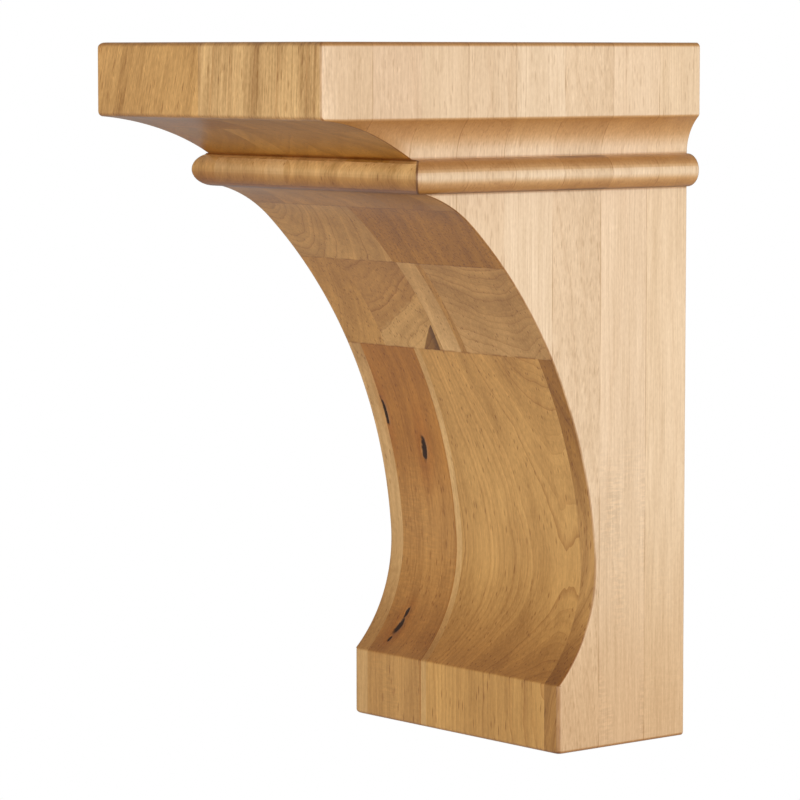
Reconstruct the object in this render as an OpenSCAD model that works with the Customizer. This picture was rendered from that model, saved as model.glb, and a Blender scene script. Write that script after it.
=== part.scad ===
// Wooden corbel bracket: a flat cap over a cove and a round bead, on a body whose
// front is scooped out in one long curve down to a plain block at the foot.
// It is machined from one glued-up hardwood blank, so it is one solid.
//
// Frame: X runs along the wall, +Y points into the wall and +Z is up.
// The origin is the middle of the flat back, which goes against the wall.

/* [Overall] */
// Full height, from the foot to the top of the cap
height = 254; // [200:1:320]
// Width of the cap, along the wall
cap_w = 128; // [100:1:160]
// Depth of the cap, out from the wall
cap_d = 175.4; // [145:0.1:215]

/* [Cap] */
// Height of the flat band around the cap
cap_h = 26.2; // [18:0.1:34]
// How far the cap stands out past each side of the body
side_overhang = 6.4; // [4:0.1:9]
// How far the cap stands out in front of the foot of the cove
front_overhang = 44.4; // [34:0.1:54]

/* [Cove and bead] */
// Height of the cove between the cap and the bead
cove_h = 13.8; // [10:0.1:18]
// Radius of the cove at the front, where it is long and shallow
front_cove_r = 100; // [70:1:140]
// Radius of the round bead
bead_r = 6; // [4.5:0.1:7.5]
// How far the bead stands out in front of the foot of the cove
bead_proud = 2.8; // [1:0.1:4]

/* [Scooped front] */
// Thickness of the body where it is thinnest
waist_d = 44.3; // [36:0.1:54]
// Height of the thinnest place above the foot
waist_h = 65.8; // [56:0.1:80]
// How far round the tight lower arc runs on above the thinnest place, in degrees
waist_turn = 4.7; // [0:0.1:10]
// Radius of the short arc under the bead
throat_r = 50; // [40:1:60]
// Slope of the short arc where it leaves the bead, in degrees below level
throat_slope = 12.3; // [6:0.1:20]
// How far past its lowest point the bead runs on under itself, in degrees
bead_turn = 14.5; // [5:0.5:25]

/* [Foot] */
// Depth of the block at the foot
foot_d = 62; // [56:0.1:76]
// Height of the block at the foot
foot_h = 24.8; // [18:0.1:31]

/* [Hidden] */
$fn = 240;

WOOD = [0.85, 0.68, 0.46];

// How far a cut runs on past the blank
clear = 1;

// Heights, measured from the top of the cap, which is level 0
cove_top = -cap_h;
bead_top = cove_top - cove_h;
bead_mid = bead_top - bead_r;
foot_bottom = -height;
foot_top = foot_bottom + foot_h;
waist = foot_bottom + waist_h;

// Depths, measured from the wall, which is 0, with the front at minus
cap_front = -cap_d;
neck_front = cap_front + front_overhang;
bead_axis = neck_front - bead_proud + bead_r;

// Widths, measured from the middle. The side beads end level with the cap.
body_w = cap_w - 2 * side_overhang;
side_bead_axis = cap_w / 2 - bead_r;

// Outlines are drawn on pairs of numbers: the first is across or out from the
// wall, and the second is the height.
function along(degrees) = [cos(degrees), sin(degrees)];
function square_of(p) = p * p;

// Radius of an arc that starts upright and ends this far out and this far up
function upright_arc_r(out, up) = (out * out + up * up) / (2 * out);

// Middle of an arc of radius r from a to b, on the right of the way from a to b
function arc_middle(a, b, r) =
    let (way = b - a, half = norm(way) / 2)
    (a + b) / 2 + [way[1], -way[0]] / (2 * half) * sqrt(r * r - half * half);

// Cove at the sides, which ends upright on the side of the body
side_cove_r = upright_arc_r(side_overhang, cove_h);

// Cove at the front, from the cap's lower edge to its own foot
front_cove = arc_middle([cap_front, cove_top], [neck_front, bead_top], front_cove_r);

// Scooped front, from the foot up: a tight arc through the waist, a long arc, and
// a short arc that ends under the bead. Each passes smoothly into the next.
low_r = upright_arc_r(foot_d - waist_d, waist_h - foot_h);
low = [-waist_d - low_r, waist];
low_end = low + low_r * along(waist_turn);

throat_start = [bead_axis, bead_mid] + bead_r * along(bead_turn - 90);
throat = throat_start - throat_r * along(90 - throat_slope);

long_way = low_end - throat;
long_r = (square_of(long_way) - throat_r * throat_r)
    / (2 * (along(waist_turn) * long_way - throat_r));
long = low_end - long_r * along(waist_turn);
long_end = long + long_r * (throat - long) / norm(throat - long);

// A level band of an outline, between two heights and from far out to x
module band(x, bottom, top) {
    translate([x - 2 * cap_d, bottom]) square([2 * cap_d, top - bottom]);
}

// What a round cutter takes off the front between two heights, with all before it
module scoop(middle, r, bottom, top) {
    intersection() {
        band(0, bottom, top);
        union() {
            translate(middle) circle(r);
            band(middle[0], bottom, top);
        }
    }
}

// Outline seen from the side: depth and height
module side_outline() {
    difference() {
        translate([cap_front, foot_bottom]) square([cap_d, height]);
        intersection() {
            translate(front_cove) circle(front_cove_r);
            band(bead_axis, bead_mid, 0);
        }
        band(bead_axis, foot_top, bead_mid + bead_r / 2);
        scoop(throat, throat_r, throat[1], bead_mid);
        scoop(long, long_r, low_end[1], long_end[1]);
        scoop(low, low_r, foot_top, low_end[1] + clear);
        band(-foot_d, foot_bottom - clear, waist);
    }
    translate([bead_axis, bead_mid]) circle(bead_r);
}

// What is cut off one side of the blank, seen from the front
module side_cut() {
    translate([body_w / 2, foot_bottom - clear])
        square([side_overhang + clear, bead_top - foot_bottom + clear]);
    intersection() {
        translate([body_w / 2 + side_cove_r, bead_top]) circle(side_cove_r);
        translate([body_w / 2, bead_top - clear])
            square([side_overhang + clear, cove_h + clear]);
    }
}

// Outline seen from the front: width and height
module front_outline() {
    difference() {
        translate([-cap_w / 2, foot_bottom]) square([cap_w, height]);
        side_cut();
        mirror([1, 0]) side_cut();
    }
    for (side = [-1, 1])
        translate([side * side_bead_axis, bead_mid]) circle(bead_r);
    translate([-side_bead_axis, bead_mid - bead_r])
        square([2 * side_bead_axis, 2 * bead_r]);
}

// The bracket: what both outlines leave, so that the mouldings meet in mitres
module corbel() {
    color(WOOD)
    translate([0, 0, height / 2])
    intersection() {
        rotate([90, 0, 90])
            translate([0, 0, -cap_w / 2 - clear])
                linear_extrude(cap_w + 2 * clear) side_outline();
        rotate([90, 0, 0])
            translate([0, 0, -clear])
                linear_extrude(cap_d + 2 * clear) front_outline();
    }
}

corbel();
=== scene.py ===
"""A wooden corbel bracket, machined from one blank that is glued up from maple boards.

The body is one mesh, lofted by Geometry Nodes from the line of its front corner. The grain, the
boards of the blank and the pockets in the wood come from Object coordinates, so they run on from
face to face. X runs along the wall, +Y points into the wall, and every length is in metres, where
a comment says nothing else.
"""

import bpy
import math
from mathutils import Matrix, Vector


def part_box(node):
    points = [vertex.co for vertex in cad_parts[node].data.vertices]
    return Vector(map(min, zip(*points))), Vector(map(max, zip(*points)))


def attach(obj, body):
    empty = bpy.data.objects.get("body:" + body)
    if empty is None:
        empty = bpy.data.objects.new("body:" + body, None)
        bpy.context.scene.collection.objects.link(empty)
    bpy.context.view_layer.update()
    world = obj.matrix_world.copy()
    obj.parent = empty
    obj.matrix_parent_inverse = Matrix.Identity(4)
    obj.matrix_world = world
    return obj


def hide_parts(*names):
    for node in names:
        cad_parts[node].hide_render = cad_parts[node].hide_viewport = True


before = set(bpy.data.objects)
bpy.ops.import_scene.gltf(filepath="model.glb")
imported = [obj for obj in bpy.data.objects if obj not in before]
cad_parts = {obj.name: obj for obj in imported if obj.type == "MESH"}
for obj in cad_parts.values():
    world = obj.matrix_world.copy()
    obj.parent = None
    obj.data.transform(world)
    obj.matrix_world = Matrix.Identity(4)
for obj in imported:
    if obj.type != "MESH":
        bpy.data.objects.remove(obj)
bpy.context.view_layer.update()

MM = 0.001

# ---------------------------------------------------------------- sizes

LOW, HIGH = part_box("corbel")
HEIGHT = HIGH.z - LOW.z
CAP_DEPTH = HIGH.y - LOW.y
CAP_HALF = (HIGH.x - LOW.x) / 2

CAP_HEIGHT = 26.2 * MM
SIDE_OVERHANG = 6.4 * MM
FRONT_OVERHANG = 44.4 * MM
COVE_HEIGHT = 13.8 * MM
FRONT_COVE_R = 100 * MM
BEAD_R = 6 * MM
BEAD_PROUD = 2.8 * MM
BEAD_TURN = math.radians(14.5)
WAIST_DEPTH = 44.3 * MM
WAIST_HEIGHT = 65.8 * MM
WAIST_TURN = math.radians(4.7)
THROAT_R = 50 * MM
THROAT_SLOPE = math.radians(12.3)
FOOT_DEPTH = 62 * MM
FOOT_HEIGHT = 24.8 * MM

# How far the edges are sanded round, as a radius
CAP_EASE = 1.9 * MM
CAP_CORNER_EASE = 0.9 * MM
ARRIS_EASE = 0.7 * MM
FOOT_EASE = 1.5 * MM
BACK_EASE = 0.4 * MM

# The mesh: how many cells it has across, from the wall to the front, and round each corner, and
# how far apart its levels are along the outline, or at the least
CELLS_ACROSS = 120
CELLS_DEEP = 26
CORNER_CELLS = 3
LEVEL_STEP = 1.15 * MM
CLOSEST_LEVELS = 0.12 * MM

# Levels, measured from the top of the cap
BEAD_TOP = -CAP_HEIGHT - COVE_HEIGHT
BEAD_MID = BEAD_TOP - BEAD_R
FOOT_TOP = FOOT_HEIGHT - HEIGHT
WAIST = WAIST_HEIGHT - HEIGHT
NECK_DEPTH = CAP_DEPTH - FRONT_OVERHANG
BODY_HALF = CAP_HALF - SIDE_OVERHANG


# ---------------------------------------------------------------- the outlines

def along(angle):
    """One step out in that direction: away from the wall, and up."""
    return Vector((-math.cos(angle), math.sin(angle)))


def upright_arc_r(out, up):
    """Radius of an arc that starts upright and ends this far out and up."""
    return (out * out + up * up) / (2 * out)


class Stretch:
    """A stretch of an outline, from its top level down to its bottom: flat, hollow or round.

    A flat one stands this far out. The other two are arcs, and out and level give their middle.
    """

    def __init__(self, top, bottom, kind, out, level=0.0, r=0.0):
        self.top = top
        self.bottom = bottom
        self.kind = kind
        self.out = out
        self.level = level
        self.r = r

    def at(self, level):
        """How far out the outline is at this level."""
        if self.kind == "flat":
            return self.out
        reach = math.sqrt(max(self.r ** 2 - (level - self.level) ** 2, 0))
        return self.out + reach if self.kind == "round" else self.out - reach

    def levels(self, step):
        """Levels down the stretch, spaced evenly along its own line."""
        if self.kind == "flat":
            count = max(1, math.ceil((self.top - self.bottom) / (3 * step)))
            return [self.top + (self.bottom - self.top) * i / count for i in range(count + 1)]
        first = math.asin(max(-1, min(1, (self.top - self.level) / self.r)))
        last = math.asin(max(-1, min(1, (self.bottom - self.level) / self.r)))
        count = max(6, math.ceil(abs(first - last) * self.r / step))
        angles = [first + (last - first) * i / count for i in range(count + 1)]
        return [self.level + self.r * math.sin(a) for a in angles]


def eased_corner(face, hollow_out, hollow_level, hollow_r, ease, hollow_below):
    """The small round between an upright face and a hollow.

    It gives how far out its middle is, the level of its middle, and the level where it meets the
    hollow.
    """
    side = 1 if hollow_below else -1
    across = hollow_out - (face - ease)
    rise = math.sqrt((hollow_r + ease) ** 2 - across ** 2)
    middle = hollow_level + side * rise
    meets = middle - side * ease * rise / (hollow_r + ease)
    return face - ease, middle, meets


def front_outline():
    """How far the front stands out from the wall, from the top of the cap down to the foot."""
    chord = Vector((-FRONT_OVERHANG, -COVE_HEIGHT))
    middle = Vector((CAP_DEPTH - FRONT_OVERHANG / 2, -CAP_HEIGHT - COVE_HEIGHT / 2))
    square_on = Vector((-chord.y, chord.x)).normalized()
    cove = middle + square_on * math.sqrt(FRONT_COVE_R ** 2 - chord.length_squared / 4)
    bead = Vector((NECK_DEPTH + BEAD_PROUD - BEAD_R, BEAD_MID))

    low_r = upright_arc_r(FOOT_DEPTH - WAIST_DEPTH, WAIST_HEIGHT - FOOT_HEIGHT)
    low = Vector((WAIST_DEPTH + low_r, WAIST))
    low_end = low + low_r * along(WAIST_TURN)
    throat_start = bead - BEAD_R * Vector((math.sin(BEAD_TURN), math.cos(BEAD_TURN)))
    throat = throat_start - THROAT_R * along(math.pi / 2 - THROAT_SLOPE)
    gap = low_end - throat
    long_r = (gap.length_squared - THROAT_R ** 2) / (2 * (along(WAIST_TURN).dot(gap) - THROAT_R))
    long = low_end - long_r * along(WAIST_TURN)
    long_end = long + long_r * (throat - long).normalized()

    between = bead - cove
    share = (FRONT_COVE_R ** 2 - BEAD_R ** 2 + between.length_squared) / (2 * between.length)
    rise = math.sqrt(FRONT_COVE_R ** 2 - share ** 2)
    way = between.normalized()
    notch = cove + way * share - Vector((-way.y, way.x)) * rise

    cap_out, cap_mid, cap_end = eased_corner(CAP_DEPTH, *cove, FRONT_COVE_R, CAP_EASE, True)
    foot_out, foot_mid, foot_end = eased_corner(FOOT_DEPTH, *low, low_r, FOOT_EASE, False)
    sole = FOOT_EASE - HEIGHT
    return [
        Stretch(0, -CAP_EASE, "round", CAP_DEPTH - CAP_EASE, -CAP_EASE, CAP_EASE),
        Stretch(-CAP_EASE, cap_mid, "flat", CAP_DEPTH),
        Stretch(cap_mid, cap_end, "round", cap_out, cap_mid, CAP_EASE),
        Stretch(cap_end, notch.y, "hollow", *cove, FRONT_COVE_R),
        Stretch(notch.y, BEAD_MID - BEAD_R, "round", *bead, BEAD_R),
        Stretch(BEAD_MID - BEAD_R, throat_start.y, "hollow", *bead, BEAD_R),
        Stretch(throat_start.y, long_end.y, "hollow", *throat, THROAT_R),
        Stretch(long_end.y, low_end.y, "hollow", *long, long_r),
        Stretch(low_end.y, foot_end, "hollow", *low, low_r),
        Stretch(foot_end, foot_mid, "round", foot_out, foot_mid, FOOT_EASE),
        Stretch(foot_mid, sole, "flat", FOOT_DEPTH),
        Stretch(sole, -HEIGHT, "round", FOOT_DEPTH - FOOT_EASE, sole, FOOT_EASE),
    ]


def side_outline():
    """Half the width, from the top of the cap down to the foot."""
    cove_r = upright_arc_r(SIDE_OVERHANG, COVE_HEIGHT)
    cove_out = BODY_HALF + cove_r
    cap_out, cap_mid, cap_end = eased_corner(CAP_HALF, cove_out, BEAD_TOP, cove_r, CAP_EASE, True)
    bead_out = CAP_HALF - BEAD_R
    bead_bottom = BEAD_TOP - 2 * BEAD_R
    sole = FOOT_EASE - HEIGHT
    return [
        Stretch(0, -CAP_EASE, "round", CAP_HALF - CAP_EASE, -CAP_EASE, CAP_EASE),
        Stretch(-CAP_EASE, cap_mid, "flat", CAP_HALF),
        Stretch(cap_mid, cap_end, "round", cap_out, cap_mid, CAP_EASE),
        Stretch(cap_end, BEAD_TOP, "hollow", cove_out, BEAD_TOP, cove_r),
        Stretch(BEAD_TOP, bead_bottom, "round", bead_out, BEAD_MID, BEAD_R),
        Stretch(bead_bottom, sole, "flat", BODY_HALF),
        Stretch(sole, -HEIGHT, "round", BODY_HALF - FOOT_EASE, sole, FOOT_EASE),
    ]


def out_at(outline, level):
    """How far out an outline is at a level."""
    for stretch in outline:
        if level >= stretch.bottom:
            return stretch.at(level)
    return outline[-1].at(level)


def ease_at(level):
    """How round the upright corners are at a level."""
    if level > -CAP_HEIGHT:
        return CAP_CORNER_EASE
    if level < FOOT_TOP:
        return FOOT_EASE
    return ARRIS_EASE


def corner_line():
    """The line that the front right corner follows down the bracket, and how round it is there.

    It has a point at each level of the front's outline, and of the curved stretches of the side's.
    """
    side = side_outline()
    curved = [part for part in side if part.kind != "flat"]
    side_levels = {round(level, 7) for part in curved for level in part.levels(LEVEL_STEP)}
    points = []
    for part in front_outline():
        within = {level for level in side_levels if part.bottom < level < part.top}
        levels = within | set(part.levels(LEVEL_STEP))
        for level in sorted(levels, reverse=part.top > part.bottom):
            point = Vector((out_at(side, level), -part.at(level), level + HIGH.z))
            if not points or (point - points[-1]).length > CLOSEST_LEVELS:
                points.append(point)
    points[-1] = point
    return points, [ease_at(p.z - HIGH.z) for p in points]


# ---------------------------------------------------------------- node helpers

def feed(tree, socket, value):
    """Gives a socket a plain value, or joins another node's output to it."""
    if isinstance(value, bpy.types.NodeSocket):
        tree.links.new(value, socket)
    else:
        socket.default_value = value


def live(sockets, name):
    """The socket of that name that is in use."""
    return next(s for s in sockets if s.name == name and s.enabled)


def add(tree, kind, inputs=None, **settings):
    """A new node with its settings, and with its inputs fed by name."""
    node = tree.nodes.new(kind)
    for name, value in settings.items():
        setattr(node, name, value)
    for name, value in (inputs or {}).items():
        feed(tree, live(node.inputs, name), value)
    return node


def math_of(tree, operation, *values, clamp=False):
    """The output of a Math node."""
    node = add(tree, "ShaderNodeMath", operation=operation, use_clamp=clamp)
    for socket, value in zip(node.inputs, values):
        feed(tree, socket, value)
    return node.outputs[0]


def times(tree, first, *others):
    """The product of numbers."""
    for other in others:
        first = math_of(tree, "MULTIPLY", first, other)
    return first


def plus(tree, first, second):
    """The sum of two numbers."""
    return math_of(tree, "ADD", first, second)


def minus(tree, first, second):
    """The first number less the second."""
    return math_of(tree, "SUBTRACT", first, second)


def times_plus(tree, first, second, third):
    """The product of two numbers, plus a third."""
    return math_of(tree, "MULTIPLY_ADD", first, second, third)


def vector_of(tree, operation, *values):
    """The output of a Vector Math node."""
    node = add(tree, "ShaderNodeVectorMath", operation=operation)
    for socket, value in zip(node.inputs, values):
        feed(tree, socket, value)
    return node.outputs["Value" if operation == "LENGTH" else "Vector"]


def stretch(tree, vector, factors):
    """A vector, or a place, multiplied along each axis."""
    return vector_of(tree, "MULTIPLY", vector, factors)


def moved(tree, vector, way):
    """A vector, or a place, moved by another."""
    return vector_of(tree, "ADD", vector, way)


def scaled(tree, vector, factor):
    """A vector, or a colour, multiplied by a number."""
    inputs = {"Vector": vector, "Scale": factor}
    return add(tree, "ShaderNodeVectorMath", inputs, operation="SCALE").outputs[0]


def input_of(tree, name):
    """The position or the normal in a Geometry Nodes tree."""
    return tree.nodes.new("GeometryNodeInput" + name).outputs[0]


def split(tree, vector):
    """The x, y and z outputs of a vector."""
    return add(tree, "ShaderNodeSeparateXYZ", {"Vector": vector}).outputs


def joined(tree, x, y, z):
    """A vector from three values."""
    return add(tree, "ShaderNodeCombineXYZ", {"X": x, "Y": y, "Z": z}).outputs[0]


def fade(tree, value, start, end):
    """0 at start and 1 at end, with soft ends."""
    inputs = {"Value": value, "From Min": start, "From Max": end}
    return add(tree, "ShaderNodeMapRange", inputs, interpolation_type="SMOOTHSTEP").outputs[0]


def noise(tree, vector, detail=2.0, roughness=0.5):
    """A noise value around a half."""
    inputs = {"Vector": vector, "Scale": 1.0, "Detail": detail, "Roughness": roughness}
    return add(tree, "ShaderNodeTexNoise", inputs).outputs[0]


def mix_number(tree, share, low, high):
    """low where share is 0, and high where it is 1."""
    inputs = {"Factor": share, "A": low, "B": high}
    return add(tree, "ShaderNodeMix", inputs, data_type="FLOAT").outputs[0]


def mix_colour(tree, share, low, high, how="MIX"):
    """Mixes two colours."""
    inputs = {"Factor": share, "A": low, "B": high}
    node = add(tree, "ShaderNodeMix", inputs, data_type="RGBA", blend_type=how)
    return live(node.outputs, "Result")


def new_group(name, kind, inputs, outputs):
    """An empty node group, what it is given and what it makes.

    inputs and outputs give the names of its sockets for each type of value.
    """
    tree = bpy.data.node_groups.new(name, kind)
    for way, sockets in (("INPUT", inputs), ("OUTPUT", outputs)):
        for value_type, labels in sockets.items():
            value_type = "NodeSocket" + value_type
            for label in labels:
                tree.interface.new_socket(label, in_out=way, socket_type=value_type)
    given = tree.nodes.new("NodeGroupInput").outputs
    made = tree.nodes.new("NodeGroupOutput").inputs
    return tree, given, made


def use_group(tree, group, inputs, kind="ShaderNodeGroup"):
    """Places a node group and returns its outputs."""
    node = tree.nodes.new(kind)
    node.node_tree = group
    for name, value in inputs.items():
        feed(tree, node.inputs[name], value)
    return node.outputs


# ---------------------------------------------------------------- the body

def spread_group():
    """Spreads a row of cells over a length, with a few narrow ones at each end for its corner."""
    tree, given, made = new_group(
        "Spread cells",
        "GeometryNodeTree",
        {"Float": ("Share", "Cells", "End cells", "Length", "First end", "Last end")},
        {"Float": ("Distance",)},
    )
    cell = times(tree, given["Share"], given["Cells"])
    last_cell = minus(tree, given["Cells"], given["End cells"])
    first = math_of(tree, "MINIMUM", math_of(tree, "DIVIDE", cell, given["End cells"]), 1.0)
    last = math_of(tree, "DIVIDE", minus(tree, cell, last_cell), given["End cells"])
    last = math_of(tree, "MAXIMUM", last, 0.0)
    inner = minus(tree, cell, given["End cells"])
    inner_cells = minus(tree, last_cell, given["End cells"])
    inner = math_of(tree, "DIVIDE", inner, inner_cells, clamp=True)
    ends = plus(tree, given["First end"], given["Last end"])
    inner_length = minus(tree, given["Length"], ends)
    distance = times(tree, first, given["First end"])
    distance = times_plus(tree, last, given["Last end"], distance)
    distance = times_plus(tree, inner, inner_length, distance)
    tree.links.new(distance, made["Distance"])
    return tree


def loft_group():
    """Lofts a closed body from its corner line: each level is a rectangle out to the line."""
    tree, given, made = new_group(
        "Body from its corner line",
        "GeometryNodeTree",
        {
            "Geometry": ("Corner line",),
            "Int": ("Cells across", "Cells deep", "Corner cells"),
            "Float": ("Back ease",),
            "Material": ("Long grain", "End grain"),
        },
        {"Geometry": ("Geometry",)},
    )
    spread = spread_group()
    line = given["Corner line"]
    counts = add(tree, "GeometryNodeAttributeDomainSize", {"Geometry": line}, component="MESH")
    levels = counts.outputs["Point Count"]
    cube = add(
        tree,
        "GeometryNodeMeshCube",
        {
            "Size": (1, 1, 1),
            "Vertices X": plus(tree, given["Cells across"], 1),
            "Vertices Y": plus(tree, given["Cells deep"], 1),
            "Vertices Z": levels,
        },
    )
    # The cube's cells give each point its share of the way across, out and up
    place = input_of(tree, "Position")
    share = split(tree, moved(tree, place, (0.5, 0.5, 0.5)))
    index = times(tree, minus(tree, 1, share[2]), minus(tree, levels, 1))
    index = math_of(tree, "ROUND", index)

    def sampled(kind, value):
        """A value of the corner line at this level."""
        inputs = {"Geometry": line, "Value": value, "Index": index}
        node = add(tree, "GeometryNodeSampleIndex", inputs, data_type=kind, domain="POINT")
        return live(node.outputs, "Value")

    corner = split(tree, sampled("FLOAT_VECTOR", place))
    named = add(tree, "GeometryNodeInputNamedAttribute", {"Name": "ease"}, data_type="FLOAT")
    ease = sampled("FLOAT", live(named.outputs, "Attribute"))
    half = corner[0]
    deep = times(tree, corner[1], -1)

    def distance(axis, cells, length, last_end):
        """How far along its row of cells a point is."""
        inputs = {
            "Share": share[axis],
            "Cells": given[cells],
            "End cells": given["Corner cells"],
            "Length": length,
            "First end": ease,
            "Last end": last_end,
        }
        return use_group(tree, spread, inputs, "GeometryNodeGroup")["Distance"]

    across = distance(0, "Cells across", times(tree, half, 2), ease)
    out = distance(1, "Cells deep", deep, given["Back ease"])
    flat_x = minus(tree, across, half)
    flat_y = minus(tree, out, deep)

    # Corners: what lies past the core rectangle is turned from a square into an arc
    core_half = minus(tree, half, ease)
    core_x = math_of(tree, "MINIMUM", flat_x, core_half)
    core_x = math_of(tree, "MAXIMUM", core_x, times(tree, core_half, -1))
    core_y = math_of(tree, "MAXIMUM", flat_y, minus(tree, ease, deep))
    core_y = math_of(tree, "MINIMUM", core_y, times(tree, given["Back ease"], -1))
    past_x = minus(tree, flat_x, core_x)
    past_y = minus(tree, flat_y, core_y)
    far_x = math_of(tree, "ABSOLUTE", past_x)
    far_y = math_of(tree, "ABSOLUTE", past_y)
    past = vector_of(tree, "NORMALIZE", joined(tree, past_x, past_y, 0.0))
    past = scaled(tree, past, math_of(tree, "MAXIMUM", far_x, far_y))
    shaped = moved(tree, joined(tree, core_x, core_y, corner[2]), past)

    # How near a point is to the middle of a round corner, kept for the look of the arrises
    nearness = math_of(tree, "DIVIDE", math_of(tree, "MINIMUM", far_x, far_y), ease)
    body = add(
        tree,
        "GeometryNodeStoreNamedAttribute",
        {"Geometry": cube.outputs["Mesh"], "Name": "arris", "Value": nearness},
        data_type="FLOAT",
        domain="POINT",
    ).outputs[0]
    body = add(tree, "GeometryNodeSetPosition", {"Geometry": body, "Position": shaped}).outputs[0]

    # The top and the underside are cut across the grain
    face_up = math_of(tree, "ABSOLUTE", split(tree, input_of(tree, "Normal"))[2])
    end_level = math_of(tree, "ABSOLUTE", split(tree, input_of(tree, "Position"))[2])
    ends = times(
        tree,
        math_of(tree, "GREATER_THAN", end_level, HIGH.z - 0.02 * MM),
        math_of(tree, "GREATER_THAN", face_up, 0.9),
    )
    body = add(tree, "GeometryNodeRealizeInstances", {"Geometry": body}).outputs[0]
    for chosen, material in ((True, "Long grain"), (ends, "End grain")):
        inputs = {"Geometry": body, "Selection": chosen, "Material": given[material]}
        body = add(tree, "GeometryNodeSetMaterial", inputs).outputs[0]
    tree.links.new(body, made["Geometry"])
    return tree


def loft_body(long_grain, end_grain):
    """The bracket's body as a plain mesh."""
    points, eases = corner_line()
    line = bpy.data.meshes.new("corner_line")
    line.from_pydata(points, [], [])
    attribute = line.attributes.new("ease", "FLOAT", "POINT")
    attribute.data.foreach_set("value", eases)
    holder = bpy.data.objects.new("corbel_loft", line)
    bpy.context.scene.collection.objects.link(holder)

    tree = loft_group()
    modifier = holder.modifiers.new("Loft", "NODES")
    modifier.node_group = tree
    given = [item for item in tree.interface.items_tree if item.in_out == "INPUT"]
    sockets = {item.name: item.identifier for item in given}
    for name, value in (
        ("Cells across", CELLS_ACROSS),
        ("Cells deep", CELLS_DEEP),
        ("Corner cells", CORNER_CELLS),
        ("Back ease", BACK_EASE),
        ("Long grain", long_grain),
        ("End grain", end_grain),
    ):
        modifier[sockets[name]] = value

    shaped = holder.evaluated_get(bpy.context.evaluated_depsgraph_get())
    mesh = bpy.data.meshes.new_from_object(shaped)
    mesh.name = "corbel_wood"
    holder.modifiers.remove(modifier)
    bpy.data.objects.remove(holder)
    body = bpy.data.objects.new("corbel_wood", mesh)
    bpy.context.scene.collection.objects.link(body)
    return body


# ---------------------------------------------------------------- pockets in the wood

# Small bark pockets in the scooped front, in millimetres. Each: how far across it is, its level
# from the top, its half width, its half length, how far it leans as it rises, and its depth.
POCKETS = [
    (-49.2, -138.8, 1.0, 6.2, -0.02, 0.7),
    (-31.2, -151.6, 1.7, 5.6, 0.10, 0.8),
    (-40.1, -214.6, 1.1, 2.3, 0.25, 0.6),
    (-41.2, -219.6, 1.7, 3.4, 0.30, 0.8),
    (-42.6, -224.4, 0.9, 1.3, 0.30, 0.5),
]

# Nothing nearer the wall than this is on the scooped front, or close behind it
SCOOP_FROM = 0.98 * WAIST_DEPTH
CLOSE_BEHIND = 0.9 * WAIST_DEPTH


def press_pockets(body):
    """Sinks the bark pockets into the scooped front."""
    for vertex in body.data.vertices:
        x, y, z = vertex.co
        if y > -SCOOP_FROM:
            continue
        for across, level, half_width, half_length, lean, depth in POCKETS:
            up = z - HIGH.z - level * MM
            side = x - across * MM - lean * up
            far = math.hypot(side / (half_width * MM), up / (half_length * MM))
            if far < 1:
                vertex.co.y += depth * MM * (1 - far * far)


# ---------------------------------------------------------------- the wood

TONES = {
    "cream": (0.86, 0.62, 0.35),
    "straw": (0.80, 0.55, 0.27),
    "wheat": (0.74, 0.50, 0.25),
    "honey": (0.73, 0.455, 0.175),
    "tan": (0.67, 0.41, 0.165),
    "brown": (0.60, 0.335, 0.085),
    "russet": (0.54, 0.255, 0.058),
    "umber": (0.42, 0.21, 0.05),
}
POCKET_COLOUR = (0.03, 0.010, 0.004, 1)

# What the wood's tone is multiplied by on each kind of mark and face; some of these are painted
# shade, as marked
TINTS = {
    "growth ring": (0.68, 0.54, 0.40),
    "pore": (0.56, 0.42, 0.28),
    "ray": (1.14, 1.16, 1.18),
    "glint": (1.25, 1.28, 1.30),
    "end grain": (0.76, 0.65, 0.50),
    # Painted shade on faces turned up, and on faces turned down
    "painted shade facing up": (0.64, 0.52, 0.36),
    "painted shade facing down": (0.70, 0.54, 0.31),
    # Painted shade on the mouldings of the sides
    "painted shade on side moulding": (0.84, 0.67, 0.46),
    # Painted shade, darker towards the bottom
    "painted shade lower down": (0.90, 0.86, 0.78),
    # Painted shade low down on the sides
    "painted shade low on the side": (0.93, 0.86, 0.79),
    # Painted shade in the cove on the front
    "painted shade in front cove": (0.86, 0.77, 0.52),
    # Painted shade beneath the front of the bead
    "under the bead": (0.68, 0.54, 0.36),
    "board joint": (0.66, 0.54, 0.42),
    # Painted shade in the bead's grooves
    "groove": (0.60, 0.44, 0.30),
    "mitre": (0.20, 0.12, 0.06),
    "arris": (0.62, 0.48, 0.34),
    "wedge": (0.40, 0.29, 0.12),
    "wedge streak": (0.42, 0.34, 0.22),
    "pocket stain": (0.84, 0.70, 0.54),
}

# Uneven tone: how closely it is set (across, out and along the grain), and how fine its detail is
UNEVEN = {
    "broad": ((55, 55, 8), 2.0),
    "streaks": ((240, 240, 22), 2.0),
    "fibres": ((1500, 1500, 40), 3.0),
    "specks": ((1300, 1300, 500), 1.0),
}
# How much each kind changes the tone, and how much of that change the sides show
TONE_CHANGES = {
    "broad": (0.55, 0.4),
    "Band": (0.70, 0.25),
    "Fine": (0.36, 0.2),
    "streaks": (0.34, 0.5),
    "fibres": (0.40, 0.9),
    "specks": (0.24, 0.8),
}
# The change is strongest in blue, which warms the darker lines
CHANGE_BY_COLOUR = (1.0, 1.25, 1.6)

# Marks along the grain: width and length in millimetres
PORE_SIZE = (1.0, 6)
RAY_SIZE = (0.6, 3)
GLINT_SIZE = (0.9, 5)

# Only the cap's front is further out than this
CAP_FRONT_FROM = 170

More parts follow.
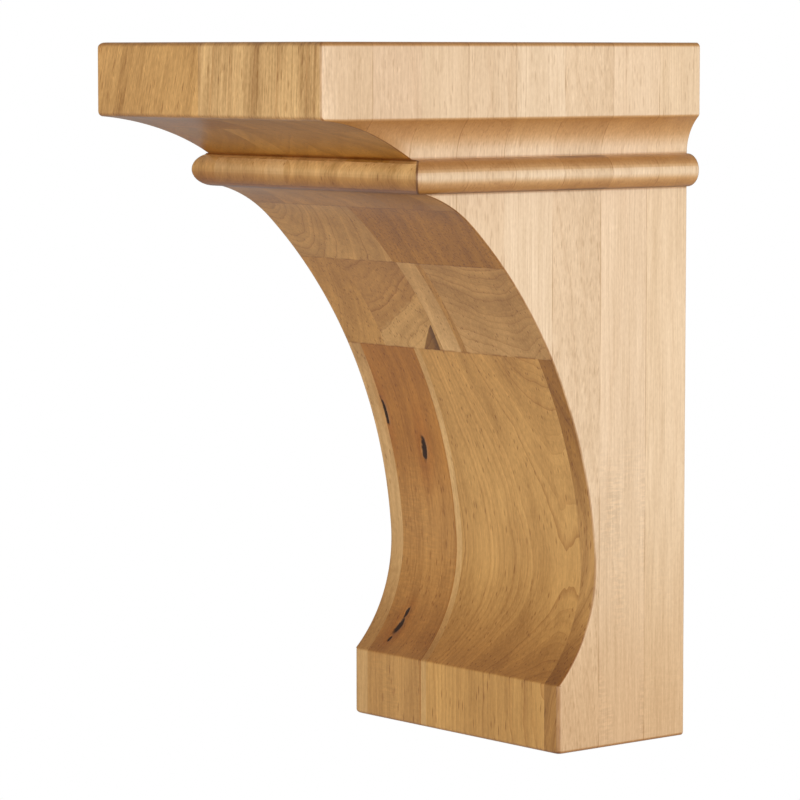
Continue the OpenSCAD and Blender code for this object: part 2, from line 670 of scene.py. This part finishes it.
# How far out the front faces of some layers are, and how far across some of their joints are
FIFTH_FRONT = 88.4
SIXTH_FRONT = 65.6
SEVENTH_FRONT = 42.5
FAR_RIGHT = 99
GOLDEN_BOARD = (-35, -1.8)
RUSSET_BOARD = (-50, -19.3)
UMBER_BOARD = (49.6, FAR_RIGHT)

# The blank, board by board, in millimetres. Each layer: how far its front face is from the wall,
# the tone of its sides, and its strips, from left to right. Each strip: its right edge, its tone,
# where the heart of its tree was (across, and out from the wall), the pitch of its growth rings,
# how strongly they show, how far its grain leans to the right as it rises, how many dark pores it
# has, and how curly it is.
# The side tones are paler than the fronts: painted light on the sides
LAYERS = [
    (176.0, (0.76, 0.56, 0.37), [
        (-4, "tan", -60, 260, 5.0, 0.9, 0.28, 0.5, 0.2),
        (FAR_RIGHT, "wheat", 290, 178, 4.2, 1.0, 0.05, 0.6, 0.0)]),
    (153.0, (0.77, 0.57, 0.39), [
        (-50, "tan", -90, 240, 3.0, 0.5, 0.0, 0.3, 0.1),
        (-21, "wheat", -90, 210, 3.0, 0.5, 0.0, 0.3, 0.1),
        (-10, "cream", -90, 220, 3.0, 0.5, 0.0, 0.3, 0.1),
        (12, "straw", -70, 240, 3.0, 0.5, 0.0, 0.3, 0.1),
        (FAR_RIGHT, "straw", 120, 260, 2.4, 0.5, 0.1, 0.4, 0.1)]),
    (131.5, (0.79, 0.60, 0.41), [
        (-38, "tan", -40, 240, 2.5, 0.5, 0.0, 0.5, 0.1),
        (-8, "honey", 60, 230, 2.5, 0.5, 0.0, 0.4, 0.1),
        (22, "tan", 130, 230, 2.5, 0.5, 0.0, 0.4, 0.1),
        (46, "brown", -90, 230, 2.5, 0.5, 0.0, 0.4, 0.1),
        (FAR_RIGHT, "tan", 90, 230, 2.5, 0.5, 0.0, 0.4, 0.1)]),
    (110.3, (0.81, 0.62, 0.43), [
        (-3.8, "straw", -52, 116, 2.0, 1.0, 0.0, 0.3, 0.0),
        (FAR_RIGHT, "brown", 190, 60, 2.4, 0.7, 0.0, 2.6, 0.1)]),
    (FIFTH_FRONT, (0.87, 0.69, 0.50), [
        (GOLDEN_BOARD[0], "honey", -139, 150, 2.4, 0.5, 0.0, 0.8, 0.3),
        (GOLDEN_BOARD[1], "tan", -39, 150, 1.9, 1.0, 0.0, 1.0, 0.3),
        (8.0, "cream", 60, 60, 3.0, 0.4, 0.0, 0.3, 0.1),
        (11.4, "honey", 60, 60, 2.0, 1.0, 0.0, 0.9, 0.1),
        (FAR_RIGHT, "wheat", 40, 230, 2.0, 0.8, 0.0, 0.4, 0.7)]),
    (SIXTH_FRONT, (0.81, 0.62, 0.43), [
        (RUSSET_BOARD[0], "wheat", -140, 60, 2.4, 0.6, 0.0, 0.3, 0.1),
        (RUSSET_BOARD[1], "russet", -120, 40, 2.0, 0.6, 0.0, 0.6, 0.6),
        (-15.8, "straw", -120, 40, 2.0, 0.5, 0.0, 0.2, 0.1),
        (UMBER_BOARD[0], "honey", 50, 86, 1.9, 0.9, 0.0, 0.5, 0.1),
        (UMBER_BOARD[1], "umber", 120, 120, 1.6, 0.8, 0.15, 1.6, 0.1)]),
    (SEVENTH_FRONT, (0.85, 0.66, 0.47), [
        (10, "honey", -30, 200, 3.0, 0.6, 0.0, 0.3, 0.1),
        (FAR_RIGHT, "straw", 200, 80, 2.4, 0.5, 0.0, 0.4, 1.0)]),
    (20.0, (0.85, 0.66, 0.46), [
        (-20, "tan", -80, -90, 3.0, 0.6, 0.0, 0.3, 0.1),
        (FAR_RIGHT, "cream", 160, -120, 2.4, 0.5, 0.0, 0.4, 0.2)]),
]

# What a whole colour channel stands for, where a ramp holds a strip's values
HEART_REACH = 300.0
PITCH_REACH = 10.0
PORE_REACH = 4.0
# The ramps run from this far left of the middle to as far right of it
RAMP_HALF = 100.0
# A joint is dark as far as the first distance from it, and is gone at the second
JOINT_EDGE = (0.08, 0.28)


def heart_share(value):
    """A place from -HEART_REACH to HEART_REACH as a share from 0 to 1."""
    return (value + HEART_REACH) / (2 * HEART_REACH)


def board_ramp(tree, share, steps):
    """A ramp over the width: its colour and its alpha. Each step: its right edge and its colour."""
    ramp = add(tree, "ShaderNodeValToRGB", {"Fac": share})
    ramp.color_ramp.interpolation = "CONSTANT"
    stops = ramp.color_ramp.elements
    while len(stops) < len(steps):
        stops.new(1.0)
    while len(stops) > len(steps):
        stops.remove(stops[-1])
    left = -RAMP_HALF
    for stop, (right, colour) in zip(stops, steps):
        stop.position = (left + RAMP_HALF) / (2 * RAMP_HALF)
        stop.color = colour
        left = right
    return ramp.outputs["Color"], ramp.outputs["Alpha"]


def ramp_steps(strips):
    """The strips of a layer as the steps of three ramps: tones, hearts and grain."""
    tones, hearts, grains = [], [], []
    for right, tone, heart_across, heart_out, pitch, rings, lean, pores, curl in strips:
        heart = (heart_share(heart_across), heart_share(heart_out), pitch / PITCH_REACH, rings)
        tones.append((right, (*TONES[tone], curl)))
        hearts.append((right, heart))
        grains.append((right, (lean, pores / PORE_REACH, 0, 1)))
    return tones, hearts, grains


def boards_group():
    """Which board of the blank a point lies in: its tone, its heart, its rings and its joints."""
    tree, given, made = new_group(
        "Boards of the blank",
        "ShaderNodeTree",
        {"Vector": ("Vector",)},
        {
            "Color": ("Tone", "Side tone"),
            "Vector": ("Heart",),
            "Float": ("Curl", "Pitch", "Rings", "Lean", "Pores", "Joint", "Layer"),
        },
    )
    place = split(tree, given["Vector"])
    share = plus(tree, place[0], RAMP_HALF * MM)
    share = math_of(tree, "DIVIDE", share, 2 * RAMP_HALF * MM)
    out = times(tree, place[1], -1 / MM)
    tone = side_tone = curl = heart = rings = grain = joint = layer = None
    for front, side, strips in LAYERS:
        tones, hearts, grains = ramp_steps(strips)
        next_tone, next_curl = board_ramp(tree, share, tones)
        next_heart, next_rings = board_ramp(tree, share, hearts)
        next_grain = board_ramp(tree, share, grains)[0]
        if tone is None:
            tone, curl, heart, rings = next_tone, next_curl, next_heart, next_rings
            grain = next_grain
            side_tone = (*side, 1)
            continue
        behind = math_of(tree, "LESS_THAN", out, front)
        tone = mix_colour(tree, behind, tone, next_tone)
        side_tone = mix_colour(tree, behind, side_tone, (*side, 1))
        heart = mix_colour(tree, behind, heart, next_heart)
        grain = mix_colour(tree, behind, grain, next_grain)
        curl = mix_number(tree, behind, curl, next_curl)
        rings = mix_number(tree, behind, rings, next_rings)
        near = math_of(tree, "ABSOLUTE", minus(tree, out, front))
        near = fade(tree, near, JOINT_EDGE[1], JOINT_EDGE[0])
        joint = near if joint is None else math_of(tree, "MAXIMUM", joint, near)
        layer = behind if layer is None else plus(tree, layer, behind)
    heart = split(tree, heart)
    grain = split(tree, grain)
    reach = 2 * HEART_REACH * MM
    heart_x = times(tree, minus(tree, heart[0], 0.5), reach)
    heart_y = times(tree, minus(tree, heart[1], 0.5), -reach)
    results = {
        "Tone": tone,
        "Side tone": side_tone,
        "Curl": curl,
        "Heart": joined(tree, heart_x, heart_y, 0.0),
        "Pitch": times(tree, heart[2], PITCH_REACH * MM),
        "Rings": rings,
        "Lean": grain[0],
        "Pores": times(tree, grain[1], PORE_REACH),
        "Joint": joint,
        "Layer": layer,
    }
    for name, value in results.items():
        tree.links.new(value, made[name])
    return tree


def rings_group():
    """Growth rings round the heart of the tree: a thin dark line at the end of each year."""
    tree, given, made = new_group(
        "Growth rings",
        "ShaderNodeTree",
        {"Vector": ("Vector", "Own place", "Heart"), "Float": ("Pitch",)},
        {"Float": ("Line", "Band", "Fine")},
    )
    wander = noise(tree, stretch(tree, given["Own place"], (22, 22, 9)))
    ripple = noise(tree, stretch(tree, given["Own place"], (160, 160, 70)))
    across = vector_of(tree, "SUBTRACT", given["Vector"], given["Heart"])
    radius = vector_of(tree, "LENGTH", stretch(tree, across, (1, 1, 0)))
    radius = times_plus(tree, wander, 14 * MM, radius)
    radius = times_plus(tree, ripple, 1.6 * MM, radius)
    years = math_of(tree, "DIVIDE", radius, given["Pitch"])
    year = math_of(tree, "FLOOR", years)
    through = math_of(tree, "FRACT", years)
    luck = add(tree, "ShaderNodeTexWhiteNoise", {"W": year}, noise_dimensions="1D").outputs["Value"]
    line = times(tree, math_of(tree, "POWER", through, 4.0), fade(tree, luck, -0.1, 1.0))
    fine = noise(tree, joined(tree, times(tree, years, 3.0), 0.0, 0.0), 3.0, 0.7)
    band = noise(tree, joined(tree, times(tree, years, 0.37), 0.0, 0.0))
    for name, value in (("Line", line), ("Band", band), ("Fine", fine)):
        tree.links.new(value, made[name])
    return tree


def flecks_group():
    """Short marks that lie along the grain, such as pores and ray flecks."""
    tree, given, made = new_group(
        "Flecks along the grain",
        "ShaderNodeTree",
        {"Vector": ("Vector",), "Float": ("Width", "Length", "Share")},
        {"Float": ("Fleck",)},
    )
    slim = math_of(tree, "DIVIDE", 1, given["Width"])
    tall = math_of(tree, "DIVIDE", 1, given["Length"])
    place = stretch(tree, given["Vector"], joined(tree, slim, slim, tall))
    cells = add(tree, "ShaderNodeTexVoronoi", {"Vector": place, "Scale": 1.0}, feature="F1")
    luck = split(tree, cells.outputs["Color"])[0]
    chosen = math_of(tree, "LESS_THAN", luck, given["Share"])
    mark = fade(tree, cells.outputs["Distance"], 0.45, 0.15)
    tree.links.new(times(tree, mark, chosen), made["Fleck"])
    return tree


def flecks(tree, group, vector, size, share):
    """1 on the flecks of a size, of which a share of the places has one."""
    width, length = size
    given = {"Vector": vector, "Width": width * MM, "Length": length * MM, "Share": share}
    return use_group(tree, group, given)["Fleck"]


def pocket_group():
    """How far a point is from a slim spot along the grain of the front, such as a bark pocket."""
    tree, given, made = new_group(
        "Bark pocket",
        "ShaderNodeTree",
        {"Vector": ("Vector", "Middle"), "Float": ("Half width", "Half length", "Lean")},
        {"Float": ("Distance",)},
    )
    ragged = noise(tree, stretch(tree, given["Vector"], (900, 0, 420)))
    place = split(tree, vector_of(tree, "SUBTRACT", given["Vector"], given["Middle"]))
    side = minus(tree, place[0], times(tree, given["Lean"], place[2]))
    side = math_of(tree, "DIVIDE", side, given["Half width"])
    up = math_of(tree, "DIVIDE", place[2], given["Half length"])
    far = vector_of(tree, "LENGTH", joined(tree, side, 0.0, up))
    far = plus(tree, far, times(tree, minus(tree, ragged, 0.5), 0.9))

    # Nothing behind the scooped front has a pocket, so it counts as far away
    in_front = math_of(tree, "LESS_THAN", split(tree, given["Vector"])[1], -CLOSE_BEHIND)
    far_away = times(tree, minus(tree, 1, in_front), 9.0)
    tree.links.new(plus(tree, far, far_away), made["Distance"])
    return tree


def pockets(tree, place, group):
    """How dark the bark pockets are here, and how stained the wood round them is."""
    dark = stain = None
    for across, level, half_width, half_length, lean, _ in POCKETS:
        inputs = {
            "Vector": place,
            "Middle": (across * MM, 0, HIGH.z + level * MM),
            "Half width": half_width * MM,
            "Half length": half_length * MM,
            "Lean": lean,
        }
        far = use_group(tree, group, inputs)["Distance"]
        here = fade(tree, far, 1.05, 0.6)
        round_it = fade(tree, far, 4.5, 0.8)
        dark = here if dark is None else math_of(tree, "MAXIMUM", dark, here)
        stain = round_it if stain is None else math_of(tree, "MAXIMUM", stain, round_it)
    return dark, stain


def new_material(name):
    """A material with an empty tree, its Principled shader and its output."""
    material = bpy.data.materials.new(name)
    material.use_nodes = True
    tree = material.node_tree
    tree.nodes.clear()
    shader = tree.nodes.new("ShaderNodeBsdfPrincipled")
    output = tree.nodes.new("ShaderNodeOutputMaterial")
    tree.links.new(shader.outputs[0], output.inputs["Surface"])
    return material, tree, shader


def shade(tree, colour, share, tint):
    """Multiplies a colour by one of the tints, as far as share says."""
    return mix_colour(tree, share, colour, (*TINTS[tint], 1), "MULTIPLY")


class Spot:
    """A point of the bracket: its place, in metres, how far across and out it is, in millimetres,
    its level above the middle, in metres, and which way it faces."""

    def __init__(self, tree):
        coordinates = tree.nodes.new("ShaderNodeTexCoord")
        self.place = coordinates.outputs["Object"]
        x, y, self.level = split(tree, self.place)
        self.across = times(tree, x, 1 / MM)
        self.out = times(tree, y, -1 / MM)
        self.normal = split(tree, coordinates.outputs["Normal"])
        self.at_side = fade(tree, math_of(tree, "ABSOLUTE", self.normal[0]), 0.1, 0.6)
        self.off_side = minus(tree, 1, self.at_side)
        self.off_back = fade(tree, self.normal[1], 0.2, -0.05)


# The dark wedge of bark beside a joint in the fifth layer: how far out its tip is, where its right
# edge is at the tip, how wide it is at the joint below it, and how much its left edge bulges
WEDGE_TIP_OUT = 71.2
WEDGE_RIGHT = -2.4
WEDGE_WIDTH = 10.0
WEDGE_BULGE = 0.9


def wedge(tree, spot):
    """1 inside the dark wedge, and 1 along the streak down its right."""
    down = minus(tree, WEDGE_TIP_OUT, spot.out)
    down = math_of(tree, "DIVIDE", down, WEDGE_TIP_OUT - SIXTH_FRONT)
    width = math_of(tree, "POWER", math_of(tree, "MAXIMUM", down, 0.0), WEDGE_BULGE)
    from_left = minus(tree, spot.across, times_plus(tree, width, -WEDGE_WIDTH, WEDGE_RIGHT))
    from_right = minus(tree, times_plus(tree, down, -1.0, WEDGE_RIGHT), spot.across)
    inside = times(
        tree,
        fade(tree, from_left, -0.2, 0.3),
        fade(tree, from_right, -0.15, 0.15),
        fade(tree, down, 1.01, 0.99),
        fade(tree, down, 0.0, 0.04),
        math_of(tree, "LESS_THAN", spot.level, 60 * MM),
    )
    return inside, fade(tree, from_right, 3.5, 0.5)


def between(tree, value, low, high):
    """1 where a value lies between two others."""
    above = math_of(tree, "GREATER_THAN", value, low)
    return times(tree, above, math_of(tree, "LESS_THAN", value, high))


def golden_corner(tree, spot):
    """1 in the golden corner of the fifth layer, left of its joint and below a slanting line."""
    ragged = noise(tree, stretch(tree, spot.place, (260, 260, 60)))
    line = times_plus(tree, spot.across, 0.30, 78.5)
    line = times_plus(tree, ragged, 3.0, line)
    below = fade(tree, minus(tree, line, spot.out), 0.6, 1.8)
    in_layer = between(tree, spot.out, SIXTH_FRONT, FIFTH_FRONT)
    return times(tree, below, in_layer, between(tree, spot.across, *GOLDEN_BOARD))


def paler_foot(tree, spot):
    """How far the two dark boards of the scooped front turn paler towards the foot."""
    def lower(start, end):
        return fade(tree, spot.level, start * MM, end * MM)

    russet = times_plus(tree, lower(-95, -105), 0.5, times(tree, lower(-20, -55), 0.5))
    russet = times(tree, between(tree, spot.across, *RUSSET_BOARD), russet)
    umber = times(tree, between(tree, spot.across, *UMBER_BOARD), lower(-10, -60))
    umber = times(tree, umber, times_plus(tree, lower(-70, -100), -0.5, 0.85))
    in_layer = between(tree, spot.out, SEVENTH_FRONT, SIXTH_FRONT)
    return times(tree, plus(tree, russet, umber), in_layer, spot.off_side)


def board_tone(tree, board, spot):
    """The tone of the board, before its figure. Faces turned to the side take a paler tone, painted
    light, which still changes layer by layer.
    """
    # Faces turned to the side take the paler side tone: painted light, changing layer by layer
    colour = mix_colour(tree, spot.at_side, board["Tone"], board["Side tone"])
    colour = mix_colour(tree, golden_corner(tree, spot), colour, (*TONES["straw"], 1))
    return mix_colour(tree, paler_foot(tree, spot), colour, (*TONES["tan"], 1))


def figured(tree, colour, groups, board, spot):
    """A colour with the figure of the wood, and the figure's own values by name."""
    # The grain of a board leans, and each board is cut from another place in its tree
    lean = times(tree, board["Lean"], spot.level, -1)
    upright = moved(tree, spot.place, joined(tree, lean, 0.0, 0.0))
    own = moved(tree, upright, stretch(tree, board["Heart"], (3.1, 2.3, 0)))
    own = moved(tree, own, joined(tree, 0.0, 0.0, board["Layer"]))
    inputs = {"Vector": upright, "Own place": own, "Heart": board["Heart"], "Pitch": board["Pitch"]}
    values = dict(use_group(tree, groups["rings"], inputs).items())
    for name, (closeness, detail) in UNEVEN.items():
        values[name] = noise(tree, stretch(tree, own, closeness), detail)

    change = None
    for name, (amount, on_side) in TONE_CHANGES.items():
        part = times(tree, minus(tree, values[name], 0.5), amount)
        part = times(tree, part, times_plus(tree, spot.at_side, on_side - 1, 1.0))
        change = part if change is None else plus(tree, change, part)
    on_cap_front = math_of(tree, "GREATER_THAN", spot.out, CAP_FRONT_FROM)
    change = times(tree, change, times_plus(tree, on_cap_front, 0.8, 1.0))
    change = stretch(tree, joined(tree, change, change, change), CHANGE_BY_COLOUR)
    colour = vector_of(tree, "MULTIPLY", colour, moved(tree, change, (1, 1, 1)))

    plainer_side = minus(tree, 1, times(tree, spot.at_side, 0.6))
    ring_line = times(tree, values["Line"], board["Rings"])
    ring_share = times(tree, ring_line, times(tree, plainer_side, 0.9))
    colour = shade(tree, colour, ring_share, "growth ring")
    pore_share = times_plus(tree, board["Pores"], 0.28, 0.01)
    pores = times(tree, flecks(tree, groups["flecks"], own, PORE_SIZE, pore_share), plainer_side)
    colour = shade(tree, colour, times(tree, pores, 0.75), "pore")
    rays = flecks(tree, groups["flecks"], stretch(tree, own, (1, 1, -1)), RAY_SIZE, 0.2)
    colour = shade(tree, colour, times(tree, rays, 0.5), "ray")

    # Glints lie aslant, and only on the boards whose grain leans
    slanted = moved(tree, own, joined(tree, times(tree, spot.level, 0.75), 0.0, 0.0))
    glints = flecks(tree, groups["flecks"], slanted, GLINT_SIZE, 0.3)
    glints = times(tree, glints, times(tree, board["Lean"], 2.5), plainer_side)
    colour = shade(tree, colour, glints, "glint")

    # Curl lies across the grain, in patches, below the mouldings
    curl = fade(tree, noise(tree, stretch(tree, own, (240, 240, 1100))), 0.38, 0.66)
    curl = times(tree, minus(tree, curl, 0.5), board["Curl"], fade(tree, spot.level, 0.0, -50 * MM))
    patches = fade(tree, noise(tree, stretch(tree, own, (60, 60, 25)), 1.0), 0.35, 0.65)
    curl = times(tree, curl, patches)
    colour = scaled(tree, colour, times_plus(tree, curl, 0.2, 1.0))
    return colour, {"fibres": values["fibres"], "pores": pores, "ring line": ring_line}


def face_shades(tree, colour, spot, on_bead, end_grain):
    """A colour with painted shade, set by the way each face turns and where it lies; end grain is
    darker wood.
    """
    on_front = times(tree, spot.off_back, spot.off_side)
    if end_grain:
        colour = shade(tree, colour, 1.0, "end grain")
    else:
        front_bead = times(tree, on_bead, on_front)
        # Painted shade on faces turned up, held back on the front of the bead
        painted_shade_up = fade(tree, spot.normal[2], 0.05, 0.75)
        painted_shade_up = times(tree, times_plus(tree, front_bead, -0.85, 1.0), painted_shade_up)
        colour = shade(tree, colour, painted_shade_up, "painted shade facing up")
        # Painted shade beneath the front of the bead
        painted_shade_under_bead = times(tree, front_bead, fade(tree, spot.normal[2], 0.25, -0.35))
        colour = shade(tree, colour, painted_shade_under_bead, "under the bead")
        # Painted shade on faces turned down
        colour = shade(tree, colour, fade(tree, spot.normal[2], -0.1, -0.85), "painted shade facing down")
        # Painted shade on the tilted faces of the mouldings on the sides
        moulded = math_of(tree, "ABSOLUTE", times(tree, spot.normal[0], spot.normal[2]))
        colour = shade(tree, colour, fade(tree, moulded, 0.1, 0.45), "painted shade on side moulding")
    # Painted shade, darker towards the bottom
    colour = shade(tree, colour, fade(tree, spot.level, -10 * MM, -120 * MM), "painted shade lower down")
    # Painted shade in the hollow of the cove on the front
    in_cove = between(tree, spot.level, HIGH.z + BEAD_TOP, HIGH.z - CAP_HEIGHT)
    colour = shade(tree, colour, times(tree, in_cove, on_front), "painted shade in front cove")
    # Painted shade low down on the sides
    painted_shade_low_side = times(tree, spot.at_side, fade(tree, spot.level, -40 * MM, -127 * MM))
    return shade(tree, colour, painted_shade_low_side, "painted shade low on the side")


def edges_and_joints(tree, colour, board, spot, on_bead):
    """A colour with the joints of the boards, painted shade in the two grooves of the bead, and
    darker arrises.
    """
    broken = noise(tree, stretch(tree, spot.place, (300, 300, 60)), 1.0)
    broken = fade(tree, broken, 0.3, 0.6)
    joint = times(tree, board["Joint"], times(tree, broken, 0.8))
    colour = shade(tree, colour, joint, "board joint")
    clear_of_back = times(tree, fade(tree, spot.normal[1], 0.6, 0.2), 0.6)
    # Painted shade in the two grooves of the bead, kept off the back
    for groove in (BEAD_TOP, BEAD_TOP - 2 * BEAD_R):
        near = math_of(tree, "ABSOLUTE", minus(tree, spot.level, HIGH.z + groove))
        near = fade(tree, near, 1.0 * MM, 0.2 * MM)
        colour = shade(tree, colour, times(tree, near, clear_of_back), "groove")
    arris = add(tree, "ShaderNodeAttribute", attribute_name="arris").outputs["Fac"]
    mitre = times(tree, fade(tree, arris, 0.0, 0.3), times(tree, on_bead, clear_of_back))
    colour = shade(tree, colour, mitre, "mitre")
    # The arrises are darker, in broken patches
    arris = times(tree, fade(tree, arris, 0.05, 0.5), times_plus(tree, broken, 0.5, 0.4))
    return shade(tree, colour, arris, "arris")


def sanded_maple(name, groups, end_grain):
    """Bare sanded maple, cut along or across the grain."""
    material, tree, shader = new_material(name)
    spot = Spot(tree)
    board = use_group(tree, groups["boards"], {"Vector": spot.place})
    colour = board_tone(tree, board, spot)
    colour, figure = figured(tree, colour, groups, board, spot)
    on_bead = between(tree, spot.level, HIGH.z + BEAD_TOP - 2 * BEAD_R, HIGH.z + BEAD_TOP)
    colour = face_shades(tree, colour, spot, on_bead, end_grain)
    colour = edges_and_joints(tree, colour, board, spot, on_bead)

    inside, streak = wedge(tree, spot)
    colour = shade(tree, colour, times(tree, inside, 0.95), "wedge")
    colour = shade(tree, colour, times(tree, inside, times(tree, streak, 0.7)), "wedge streak")
    dark, stain = pockets(tree, spot.place, groups["pocket"])
    colour = shade(tree, colour, times(tree, stain, 0.8), "pocket stain")
    colour = mix_colour(tree, dark, colour, POCKET_COLOUR)
    tree.links.new(colour, shader.inputs["Base Color"])

    rough = times_plus(tree, figure["fibres"], 0.14, 0.55 if end_grain else 0.28)
    rough = times_plus(tree, dark, 0.3, rough)
    tree.links.new(rough, shader.inputs["Roughness"])
    height = times_plus(tree, figure["pores"], -0.6, figure["fibres"])
    height = times_plus(tree, figure["ring line"], -0.4, height)
    height = times_plus(tree, dark, -2.0, height)
    relief = {"Height": height, "Strength": 0.25, "Distance": 0.15 * MM}
    bump = add(tree, "ShaderNodeBump", relief)
    tree.links.new(bump.outputs[0], shader.inputs["Normal"])
    return material


# ---------------------------------------------------------------- the bracket

groups = {
    "boards": boards_group(),
    "rings": rings_group(),
    "flecks": flecks_group(),
    "pocket": pocket_group(),
}
long_grain = sanded_maple("sanded maple", groups, end_grain=False)
end_grain = sanded_maple("sanded end grain", groups, end_grain=True)

corbel = loft_body(long_grain, end_grain)
press_pockets(corbel)
corbel.data.shade_smooth()
corbel.data.set_sharp_from_angle(angle=math.radians(32))
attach(corbel, "root")
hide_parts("corbel")


# ---------------------------------------------------------------- camera, lights and floor

CENTRE = (LOW + HIGH) / 2
AIM = CENTRE + Vector((0, 0, -1.9 * MM))
VIEW_TURN = math.radians(50.14)
VIEW_RISE = math.radians(5.22)
VIEW_DISTANCE = 1.373
SENSOR_WIDTH = 36
FOCAL_LENGTH = 170.6
ROOM_LIGHT = (0.37, 0.32, 0.25, 1)
MIRRORED_ROOM = (1, 0.96, 0.88, 1)
WHITE = (1, 1, 1, 1)
FLOOR_COLOUR = (0.55, 0.54, 0.53, 1)


def look_from(place, aim):
    """The turn that points a camera or a light from a place towards an aim."""
    return (aim - place).to_track_quat("-Z", "Y").to_euler()


def from_angle(turn, rise, distance, aim=AIM):
    """A place round the bracket: turn 0 is straight in front, and more of it is to the right."""
    flat = Vector((math.sin(turn), -math.cos(turn), 0)) * math.cos(rise)
    return aim + (flat + Vector((0, 0, math.sin(rise)))) * distance


def set_camera():
    """The camera looks slightly down at the front right corner, with no shift."""
    lens = bpy.data.cameras.new("camera")
    lens.sensor_width = SENSOR_WIDTH
    lens.lens = FOCAL_LENGTH
    lens.clip_end = 100
    camera = bpy.data.objects.new("camera", lens)
    bpy.context.scene.collection.objects.link(camera)
    camera.location = from_angle(VIEW_TURN, VIEW_RISE, VIEW_DISTANCE)
    camera.rotation_euler = look_from(camera.location, AIM)
    bpy.context.scene.camera = camera


def softbox(name, turn, rise, distance, size, power, colour):
    """A square soft light that faces the bracket."""
    light = bpy.data.lights.new(name, "AREA")
    light.shape = "SQUARE"
    light.size = size
    light.energy = power
    light.color = colour
    box = bpy.data.objects.new(name, light)
    bpy.context.scene.collection.objects.link(box)
    box.location = from_angle(math.radians(turn), math.radians(rise), distance)
    box.rotation_euler = look_from(box.location, AIM)


def mix_shader(tree, share, first, second):
    """A node that mixes the shaders of two others."""
    mix = add(tree, "ShaderNodeMixShader", {"Fac": share})
    tree.links.new(first.outputs[0], mix.inputs[1])
    tree.links.new(second.outputs[0], mix.inputs[2])
    return mix


def set_world(glossy):
    """White all round to the eye, nearly white and dimmer in reflections, and a warm even light."""
    world = bpy.data.worlds.new("studio")
    world.use_nodes = True
    bpy.context.scene.world = world
    tree = world.node_tree
    tree.nodes.clear()
    path = tree.nodes.new("ShaderNodeLightPath").outputs
    output = tree.nodes.new("ShaderNodeOutputWorld")
    shown = add(tree, "ShaderNodeBackground", {"Color": ROOM_LIGHT, "Strength": 1.0})
    others = (("Is Glossy Ray", MIRRORED_ROOM, glossy), ("Is Camera Ray", WHITE, 1.0))
    for ray, colour, strength in others:
        other = add(tree, "ShaderNodeBackground", {"Color": colour, "Strength": strength})
        shown = mix_shader(tree, path[ray], shown, other)
    tree.links.new(shown.outputs[0], output.inputs["Surface"])


def set_floor(glossy):
    """A plain pale floor well below the bracket, which hangs on a wall.

    It is white to the eye and in reflections, and it can be seen through from below.
    """
    drop = 0.25
    half = 6.0
    mesh = bpy.data.meshes.new("floor")
    corners = [(-half, -half), (half, -half), (half, half), (-half, half)]
    mesh.from_pydata([(x, y, LOW.z - drop) for x, y in corners], [], [(0, 1, 2, 3)])
    floor = bpy.data.objects.new("floor", mesh)
    bpy.context.scene.collection.objects.link(floor)
    material, tree, shader = new_material("pale floor")
    place = tree.nodes.new("ShaderNodeTexCoord").outputs["Object"]
    grain = noise(tree, stretch(tree, place, (40, 40, 40)))
    tree.links.new(times_plus(tree, grain, 0.1, 0.6), shader.inputs["Roughness"])
    shader.inputs["Base Color"].default_value = FLOOR_COLOUR
    path = tree.nodes.new("ShaderNodeLightPath").outputs
    strength = times_plus(tree, path["Is Camera Ray"], 1 - glossy, glossy)
    white = add(tree, "ShaderNodeEmission", {"Color": WHITE, "Strength": strength})
    white_share = math_of(tree, "MAXIMUM", path["Is Camera Ray"], path["Is Glossy Ray"])
    above = mix_shader(tree, white_share, shader, white)
    underside = tree.nodes.new("ShaderNodeNewGeometry").outputs["Backfacing"]
    shown = mix_shader(tree, underside, above, tree.nodes.new("ShaderNodeBsdfTransparent"))
    output = next(n for n in tree.nodes if n.type == "OUTPUT_MATERIAL")
    tree.links.new(shown.outputs[0], output.inputs["Surface"])
    mesh.materials.append(material)


set_camera()
set_world(glossy=0.4)
softbox("key", turn=95, rise=8, distance=1.5, size=1.0, power=14, colour=(1.0, 0.97, 0.94))
softbox("front", turn=-5, rise=4, distance=1.8, size=1.1, power=13, colour=(1.0, 0.86, 0.66))
set_floor(glossy=0.55)
bpy.context.scene.view_settings.view_transform = "Standard"
